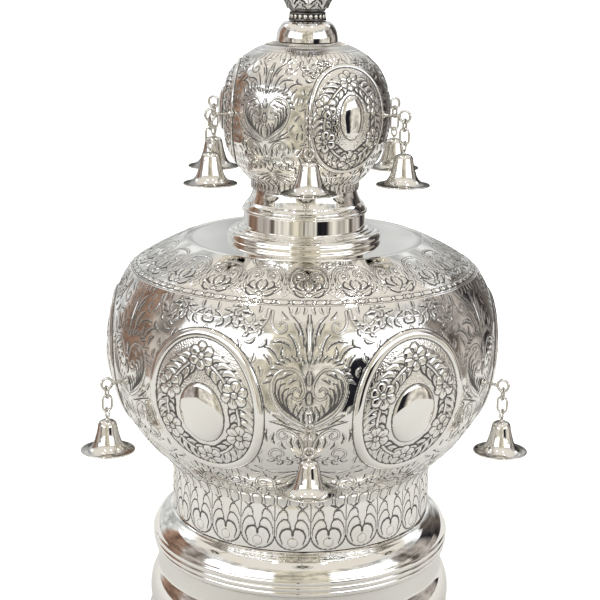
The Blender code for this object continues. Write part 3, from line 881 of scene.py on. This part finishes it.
EYE_RADIUS = 2.8
EYE_WIRE = 0.7
LINK_WIRE = 0.55
LOOP_WIRE = 0.45
LINK_1 = (2.9, 1.75)       # half height and half width of the wire's centreline
LINK_2 = (4.0, 2.4)
CROWN_RADIUS = 2.3
LINK_1_TOP = EYE_WIRE + LINK_WIRE + 0.3
LINK_2_TOP = 2 * LINK_WIRE + 0.3
CROWN_CENTRE = LINK_2_TOP - CROWN_RADIUS
BELL_TOP = CROWN_CENTRE - CROWN_RADIUS - 1.3
BELL_HEIGHT = 15.6
BELL_RIM = 13.35
INNER_LOOP_CENTRE = BELL_TOP - 2.1
CLAPPER_RING_CENTRE = 2 * LOOP_WIRE + 0.3 - 1.3
CLAPPER_DROP = 9.0
CLAPPER_BALL = 1.95


def wire_loop(name, centre, half_height, half_width, wire, plane, points=40, sides=4):
    """A closed wire loop with round ends, in the XZ or the YZ plane, as a mesh."""
    curve = bpy.data.curves.new(name, "CURVE")
    curve.dimensions = "3D"
    curve.bevel_depth = wire * MM
    curve.bevel_resolution = sides
    straight = half_height - half_width
    spline = curve.splines.new("POLY")
    spline.points.add(points - 1)
    spline.use_cyclic_u = True
    for i, point in enumerate(spline.points):
        angle = 2 * pi * (i + 0.5) / points
        across = half_width * cos(angle)
        up = centre + half_width * sin(angle) + (straight if sin(angle) > 0 else -straight)
        place = (across, 0.0, up) if plane == "XZ" else (0.0, across, up)
        point.co = (place[0] * MM, place[1] * MM, place[2] * MM, 1.0)
        # the solder seam is a little thicker than the wire
        point.radius = 1.0 + 0.16 * max(0.0, 1 - abs(i - points * 0.7) / 2)
    holder = new_object(name, curve)
    mesh = settled(holder)
    bpy.data.curves.remove(curve)
    return mesh


def merged(name, *meshes):
    """Several closed meshes in one."""
    body = bmesh.new()
    for mesh in meshes:
        body.from_mesh(mesh)
    whole = bpy.data.meshes.new(name)
    body.to_mesh(whole)
    body.free()
    return smoothed(whole)


def bell_mesh():
    top, rim = BELL_TOP, BELL_TOP - BELL_HEIGHT
    outer = chain_of(
        [(0.0, top + 1.35), (0.75, top + 1.3)],
        arc((0.78, top + 1.2), (1.5, top + 0.05), 0.35, 5),
        arc((1.6, top), (4.5, top - 1.9), -0.55, 8),
        arc((4.55, top - 2.0), (6.3, rim + 6.0), 0.18, 6),
        arc((6.35, rim + 5.8), (9.4, rim + 1.7), 0.5, 8),
        arc((9.6, rim + 1.55), (12.6, rim + 0.75), 0.12, 5),
        arc((12.7, rim + 0.75), (12.9, rim + 0.02), -0.4, 6),
    )
    inner = chain_of(
        [(12.2, rim + 0.05)],
        arc((12.0, rim + 0.2), (8.9, rim + 1.0), -0.1, 4),
        arc((8.7, rim + 1.1), (5.7, rim + 6.2), -0.5, 8),
        arc((5.65, rim + 6.4), (3.9, top - 2.3), -0.15, 5),
        arc((3.8, top - 2.2), (0.0, top - 0.9), 0.4, 6),
    )
    drawn_rim = 13.3
    outline = [(r * (BELL_RIM / drawn_rim), z) for r, z in outer + inner]
    shell = lathe_mesh("bell_shell", outline, False, 72)
    crown = wire_loop("bell_crown", CROWN_CENTRE, CROWN_RADIUS, CROWN_RADIUS, LINK_WIRE, "YZ", 36)
    loop = wire_loop("bell_loop", INNER_LOOP_CENTRE, 1.5, 1.5, LOOP_WIRE, "YZ", 24, 3)
    return merged("bell", shell, crown, loop)


def clapper_mesh():
    """A ring, and a stem that swells into the ball."""
    ring_radius, neck = 1.3, -CLAPPER_DROP + CLAPPER_BALL
    top = CLAPPER_RING_CENTRE - ring_radius
    ring = wire_loop(
        "clapper_ring", CLAPPER_RING_CENTRE, ring_radius, ring_radius, LOOP_WIRE - 0.05, "XZ", 24, 3
    )
    outline = chain_of(
        [(0.0, top), (0.5, top - 0.1), (0.45, neck)],
        arc((0.6, neck - 0.1), (0.0, -CLAPPER_DROP - CLAPPER_BALL), -CLAPPER_BALL, 16),
    )
    return merged("clapper", ring, lathe_mesh("clapper_stem", outline, False, 24))


def arm_mesh(reach, surface):
    """The rod with its boss and collar, drawn out to the eye; zero is the eye's centre."""
    start = surface - reach + 0.3
    end = -EYE_RADIUS
    outline = chain_of(
        [(0.0, end + 0.2), (0.7, end)],
        arc((1.0, end - 0.5), (0.7, end - 1.6), -0.15, 4),
        [(0.7, start + 2.2)],
        arc((0.75, start + 1.9), (1.75, start + 0.9), 0.25, 5),
        arc((1.8, start + 0.8), (1.8, start), -0.25, 4),
        [(0.0, start)],
    )
    rod = lathe_mesh("arm_rod", outline, False, 32)
    rod.transform(Matrix.Rotation(radians(90), 4, "Y"))
    eye = wire_loop("arm_eye", 0.0, EYE_RADIUS, EYE_RADIUS, EYE_WIRE, "XZ", 44)
    return merged("arm", rod, eye)


def make_strings(bell_silver, link_silver):
    """Every arm with its two links, bell and clapper, each on its own body."""
    hinge = {joint["child"]: Vector(joint["pos_m"]) for joint in frame["joints"]}
    moving = {
        "link_1": (wire_loop("link_1", LINK_1_TOP - LINK_1[0], *LINK_1, LINK_WIRE, "YZ"), link_silver),
        "link_2": (wire_loop("link_2", LINK_2_TOP - LINK_2[0], *LINK_2, LINK_WIRE, "XZ"), link_silver),
        "bell": (bell_mesh(), bell_silver),
        "clapper": (clapper_mesh(), bell_silver),
    }
    arms = {}
    for node in sorted(frame["nodes"]):
        if not node.endswith("_arm"):
            continue
        string = node[: -len("_arm")]
        eye = hinge[f"{string}_link_1"] + Vector((0, 0, EYE_RADIUS * MM))
        turn = Matrix.Rotation(np.arctan2(eye.y, eye.x), 4, "Z")
        tier = string.split("_")[0]
        if tier not in arms:
            radius_of = main_bulb_radius if tier == "lower" else upper_bulb_radius
            arms[tier] = arm_mesh(hypot(eye.x, eye.y) / MM, radius_of(eye.z / MM))
        add_piece(f"{node}_wire", arms[tier], link_silver, node, place=Matrix.Translation(eye) @ turn)
        for part, (mesh, finish) in moving.items():
            body = f"{string}_{part}"
            place = Matrix.Translation(hinge[body]) @ turn
            add_piece(f"{body}_silver", mesh, finish, body, body, place)


# ---------- materials ----------

def rgba(colour):
    """Three numbers get a fourth; a socket stays as it is."""
    return (*colour, 1) if isinstance(colour, tuple) else colour


class Nodes:
    """A small helper that adds shader nodes and links them."""

    def __init__(self, tree):
        self.tree = tree

    def link(self, output, node, key):
        self.tree.links.new(output, node.inputs[key])

    def add(self, kind, inputs=None, **settings):
        node = self.tree.nodes.new(kind)
        for key, value in settings.items():
            setattr(node, key, value)
        for key, value in (inputs or {}).items():
            if isinstance(value, bpy.types.NodeSocket):
                self.link(value, node, key)
            else:
                node.inputs[key].default_value = value
        return node

    def noise(self, place, scale, detail, roughness=0.5):
        inputs = {"Vector": place, "Scale": scale, "Detail": detail, "Roughness": roughness}
        return self.add("ShaderNodeTexNoise", inputs).outputs["Fac"]

    def fit(self, value, start, stop, low=0.0, high=1.0, **settings):
        """The value between start and stop, carried to between low and high."""
        inputs = {"Value": value, "From Min": start, "From Max": stop, "To Min": low, "To Max": high}
        return self.add("ShaderNodeMapRange", inputs, **settings).outputs["Result"]

    def mix(self, share, first, second, **settings):
        inputs = {"Fac": share, "Color1": rgba(first), "Color2": rgba(second)}
        return self.add("ShaderNodeMixRGB", inputs, **settings).outputs["Color"]

    def math(self, operation, first, second):
        return self.add("ShaderNodeMath", {0: first, 1: second}, operation=operation).outputs["Value"]

    def bump(self, height, strength, distance, normal=None):
        inputs = {"Height": height, "Strength": strength, "Distance": distance}
        if normal:
            inputs["Normal"] = normal
        return self.add("ShaderNodeBump", inputs).outputs["Normal"]

    def ramp(self, value, stops):
        """A colour ramp with (place, colour) stops."""
        node = self.add("ShaderNodeValToRGB", {"Fac": value})
        elements = node.color_ramp.elements
        elements[0].position, elements[0].color = stops[0][0], rgba(stops[0][1])
        elements[1].position, elements[1].color = stops[-1][0], rgba(stops[-1][1])
        for at, colour in stops[1:-1]:
            elements.new(at).color = rgba(colour)
        return node.outputs["Color"]


def new_material(name):
    """A material, its shader, a maker of nodes and the object's own coordinates."""
    material = bpy.data.materials.new(name)
    material.use_nodes = True
    make = Nodes(material.node_tree)
    place = make.add("ShaderNodeTexCoord").outputs["Object"]
    return material, material.node_tree.nodes["Principled BSDF"], make, place


# How fine each texture is, per metre
MOTTLE, WAVE, WIPING, DOTS, FLOOR_MOTTLE = 38.0, 26.0, 900.0, 1150.0, 3.0
# the near-black of the painted shade in the cut lines
CUT_SHADE_COLOUR = (0.035, 0.032, 0.03)


def silver_material(name, colour, tarnish, rough, cut_dark=0.0, stipple=0.0, wave=0.0, edge=1.0):
    """Polished silver: faint tarnish, fine wiping marks, and where it is chased, painted shade in the cuts.
    """
    material, shader, make, place = new_material(name)
    shader.inputs["Metallic"].default_value = 1.0
    # edge tints the glancing reflection; below 1 it paints shade along rims and silhouettes
    shader.inputs["Specular Tint"].default_value = (edge, edge, edge, 1)
    mottle = make.fit(make.noise(place, MOTTLE, 4.0, 0.6), 0.42, 0.75)
    surface = make.mix(mottle, colour, tarnish)
    marks = make.noise(place, WIPING, 2.0, 0.7)
    roughness = make.fit(marks, 0.35, 0.7, rough * 0.7, rough * 1.5)
    if cut_dark:
        # painted shade: where the cuts are marked, the colour runs to near-black
        ink = make.add("ShaderNodeAttribute", attribute_name="ink").outputs["Fac"]
        cut = make.fit(ink, 0.18, 0.85, 0.0, cut_dark, interpolation_type="SMOOTHSTEP")
        surface = make.mix(cut, surface, CUT_SHADE_COLOUR)
        roughness = make.math("MAXIMUM", roughness, cut)
    make.link(surface, shader, "Base Color")
    make.link(roughness, shader, "Roughness")
    normal = None
    if wave:
        normal = make.bump(make.noise(place, WAVE, 1.0), wave, 0.002)
    if stipple:
        ground = make.add("ShaderNodeAttribute", attribute_name="ground").outputs["Fac"]
        dots = make.add("ShaderNodeTexVoronoi", {"Vector": place, "Scale": DOTS}).outputs["Distance"]
        normal = make.bump(make.math("MULTIPLY", dots, ground), stipple, 0.0004, normal)
    if normal:
        make.link(normal, shader, "Normal")
    return material


def ground_material(name, tone, lighter):
    """A matt, faintly mottled pale ground."""
    material, shader, make, place = new_material(name)
    make.link(make.mix(make.noise(place, FLOOR_MOTTLE, 3.0), tone, lighter), shader, "Base Color")
    shader.inputs["Roughness"].default_value = 0.7
    shader.inputs["Specular IOR Level"].default_value = 0.0
    return material


# ---------- studio ----------

CAMERA_TURN = radians(-1.9)
CAMERA_REACH = 740.0       # from the vertical axis, mm
CAMERA_LEVEL = 358.9
CAMERA_AIM = 171.6
CAMERA_ROLL = radians(0.85)
CAMERA_LENS = 88.6
CAMERA_SHIFT = -3.3 / 600  # of the frame's width


def make_camera():
    camera = bpy.data.cameras.new("camera")
    camera.lens = CAMERA_LENS
    camera.sensor_width = 36.0
    camera.clip_start = 0.05
    camera.clip_end = 60.0
    holder = new_object("camera", camera)
    place = Vector((sin(CAMERA_TURN), -cos(CAMERA_TURN), 0.0)) * CAMERA_REACH
    place.z = CAMERA_LEVEL
    holder.location = place * MM
    aim = Vector((0.0, 0.0, CAMERA_AIM)) - place
    turn = aim.to_track_quat("-Z", "Y") @ Quaternion((0, 0, 1), CAMERA_ROLL)
    holder.rotation_mode = "QUATERNION"
    holder.rotation_quaternion = turn
    camera.shift_x = CAMERA_SHIFT
    bpy.context.scene.camera = holder


# Where the room's levels run into each other, as the height of a direction from -1 to 1
LOW_TO_HIGH, HIGH_TO_UPPER, UPPER_TO_CEILING = (0.12, 0.16), (0.48, 0.52), (0.62, 0.70)
ROOM_LIGHT = 1.06


def make_world():
    """A room for the silver to reflect: beige and dark things, soft panels; plain to the camera."""
    world = bpy.data.worlds.new("studio")
    world.use_nodes = True
    bpy.context.scene.world = world
    tree = world.node_tree
    make = Nodes(tree)
    way = make.add("ShaderNodeTexCoord").outputs["Generated"]
    parts = make.add("ShaderNodeSeparateXYZ", {"Vector": way}).outputs
    up = parts["Z"]
    turn = make.math("ARCTAN2", parts["X"], make.math("MULTIPLY", parts["Y"], -1.0))
    # 0.5 is the front, where the camera stands; less is to its left as the camera sees it
    round_about = make.fit(turn, -pi, pi)

    def ring(*stops):
        """A level of the room, from (degrees from the front, colour) pairs."""
        ends = [(0.0, wall), *((0.5 + degrees / 360, colour) for degrees, colour in stops), (1.0, wall)]
        return make.ramp(round_about, ends)

    def above(colour, band, upper):
        share = make.fit(up, *band, interpolation_type="SMOOTHSTEP")
        return make.mix(share, colour, upper)

    beige, pale, wall, white = (0.58, 0.54, 0.44), (0.68, 0.65, 0.58), (0.66, 0.67, 0.67), (2.0, 2.05, 2.15)
    dark, dusk, grey = (0.015, 0.015, 0.02), (0.13, 0.11, 0.095), (0.44, 0.40, 0.37)
    brown, umber, ceiling = (0.33, 0.22, 0.165), (0.20, 0.125, 0.09), (0.76, 0.72, 0.66)
    low = ring(
        (-136, wall), (-132, grey), (-129, brown), (-120, umber), (-104, brown), (-98, grey), (-70, grey),
        (-66, dusk), (-61, dusk), (-58, pale), (-30, pale), (-27, beige), (-4, beige), (-3, dark), (-2, dark),
        (-1, pale), (20, pale), (22, dark), (40, dark), (43, dusk), (46, grey), (50, pale), (88, pale),
        (92, dusk), (98, dusk), (102, grey), (124, grey), (130, dark), (148, dusk), (158, wall),
    )
    high = ring(
        (-136, wall), (-132, grey), (-129, brown), (-120, umber), (-107, brown), (-100, grey), (-88, dusk),
        (-80, grey), (-75, white), (-24, white), (-20, beige), (20, beige), (25, white), (74, white),
        (79, grey), (90, dusk), (96, grey), (112, grey), (124, dark), (146, dusk), (158, wall),
    )
    upper = ring(
        (-140, wall), (-130, white), (-118, wall), (-100, grey), (-75, wall), (-28, pale), (-20, beige),
        (20, beige), (28, pale), (76, wall), (100, grey), (116, wall), (128, white), (140, wall),
    )
    colour = above(above(low, LOW_TO_HIGH, high), HIGH_TO_UPPER, upper)
    # furniture and hangings: soft blotches that shade the room, but not its ceiling
    shade = make.fit(make.noise(way, 6.0, 3.0, 0.6), 0.35, 0.65, 0.55, 1.3)
    colour = above(make.mix(1.0, colour, shade, blend_type="MULTIPLY"), UPPER_TO_CEILING, ceiling)
    room = tree.nodes["Background"]
    room.inputs["Strength"].default_value = ROOM_LIGHT
    make.link(colour, room, "Color")
    plain = make.add("ShaderNodeBackground", {"Color": (0.97, 0.97, 0.965, 1), "Strength": 1.0})
    seen = make.add("ShaderNodeLightPath").outputs["Is Camera Ray"]
    both = make.add("ShaderNodeMixShader", {0: seen, 1: room.outputs[0], 2: plain.outputs[0]})
    make.link(both.outputs[0], tree.nodes["World Output"], "Surface")


def add_ground(name, corners, level, tones):
    """A flat stage piece with its own pale material."""
    mesh = bpy.data.meshes.new(name)
    mesh.from_pydata([(x, y, 0.0) for x, y in corners], [], [range(len(corners))])
    mesh.materials.append(ground_material(name, *tones))
    ground = new_object(name, mesh)
    ground.location.z = level * MM
    return ground


def make_floor():
    """The wide floor that is seen, and the smaller table top that the silver mirrors."""
    reach, sides = 14, 64
    angles = [2 * pi * k / sides for k in range(sides)]
    ring = [(reach * cos(angle), reach * sin(angle)) for angle in angles]
    floor = add_ground("floor", ring, FOOT_BOTTOM - 0.3, ((0.88, 0.88, 0.875), (0.91, 0.91, 0.905)))
    floor.visible_glossy = False
    rim = [(-0.55, -0.34), (0.55, -0.34), (0.55, 0.75), (-0.55, 0.75)]
    table = add_ground("table_top", rim, FOOT_BOTTOM - 0.1, ((0.43, 0.43, 0.42), (0.46, 0.46, 0.45)))
    table.visible_camera = table.visible_diffuse = table.visible_shadow = False


def add_light(name, place, size, power, aim=(0.0, 0.0, 0.17), mirrored_in_silver=False):
    light = bpy.data.lights.new(name, "AREA")
    light.shape = "RECTANGLE"
    light.size, light.size_y = size
    light.energy = power
    holder = new_object(name, light)
    holder.location = place
    holder.rotation_mode = "QUATERNION"
    holder.rotation_quaternion = (Vector(aim) - Vector(place)).to_track_quat("-Z", "Y")
    holder.visible_glossy = mirrored_in_silver


def make_lights():
    """Soft light for the floor from panels that the silver doesn't mirror, and small ceiling lamps."""
    add_light("soft_front", (0.0, -1.2, 2.2), (2.4, 1.2), 26.0)
    add_light("soft_backdrop", (0.0, 3.4, 3.4), (7.0, 5.0), 330.0, aim=(0.0, 3.4, 0.0))
    for k, (x, y) in enumerate(((-0.55, -0.75), (0.5, -0.8), (-0.6, 0.35), (0.55, 0.3))):
        add_light(f"ceiling_lamp_{k + 1}", (x, y, 2.3), (0.11, 0.11), 1.2, mirrored_in_silver=True)


def finish(slot, name, colour, tarnish, rough, **looks):
    return Finish(silver_material(name, colour, tarnish, rough, **looks), slot)


BRIGHT, WARM, DULL = (0.95, 0.935, 0.905), (0.92, 0.895, 0.84), (0.90, 0.875, 0.82)
silver = finish("polished_silver", "polished_silver", BRIGHT, WARM, 0.025, wave=0.04)
chased = finish("chased_silver", "chased_silver", BRIGHT, DULL, 0.05, cut_dark=0.8, stipple=0.3, wave=0.12)
# wires and links: a dark edge tint paints shade along their rims
bell_silver = finish(
    "polished_silver", "wire_silver", (0.93, 0.915, 0.885), (0.86, 0.835, 0.78), 0.05, wave=0.08, edge=0.15
)
link_silver = finish(
    "polished_silver", "link_silver", (0.80, 0.785, 0.75), (0.68, 0.66, 0.61), 0.07, wave=0.08, edge=0.05
)
# the beads' bright silver is painted light on the collar's oxidised silver
bead_silver = Finish(bell_silver.material, "oxidised_silver")
# oxidised silver, darkened further as painted shade in the collar's and the socket's recesses; its edge tint
# paints shade on the rims too
dark = finish(
    "oxidised_silver", "oxidised_silver", (0.30, 0.29, 0.28), (0.07, 0.07, 0.07), 0.16, wave=0.3, edge=0.3
)
# the cup's leaves and bud: a pale, lit copy of the collar's oxidised silver, with painted shade in their
# grooves and a dark edge tint on the rims
dark_leaf = finish(
    "oxidised_silver", "oxidised_leaf_painted_lit_with_groove_shade", (0.88, 0.87, 0.85), (0.56, 0.55, 0.53), 0.12, cut_dark=0.95, edge=0.3
)
steel = silver_material("turned_steel", (0.56, 0.56, 0.57), (0.45, 0.43, 0.42), 0.3)

make_main_bulb(chased)
make_shoulder(chased, silver)
make_gallery(chased)
make_upper_bulb(chased)
make_base(silver)
make_neck(silver)
make_cap(silver, bead_silver, dark, dark_leaf)
make_strings(bell_silver, link_silver)
rod_materials = frame["nodes"]["tie_rod"].data.materials
rod_materials.clear()
rod_materials.append(steel)

make_camera()
make_world()
make_floor()
make_lights()
bpy.context.scene.view_settings.view_transform = "Standard"
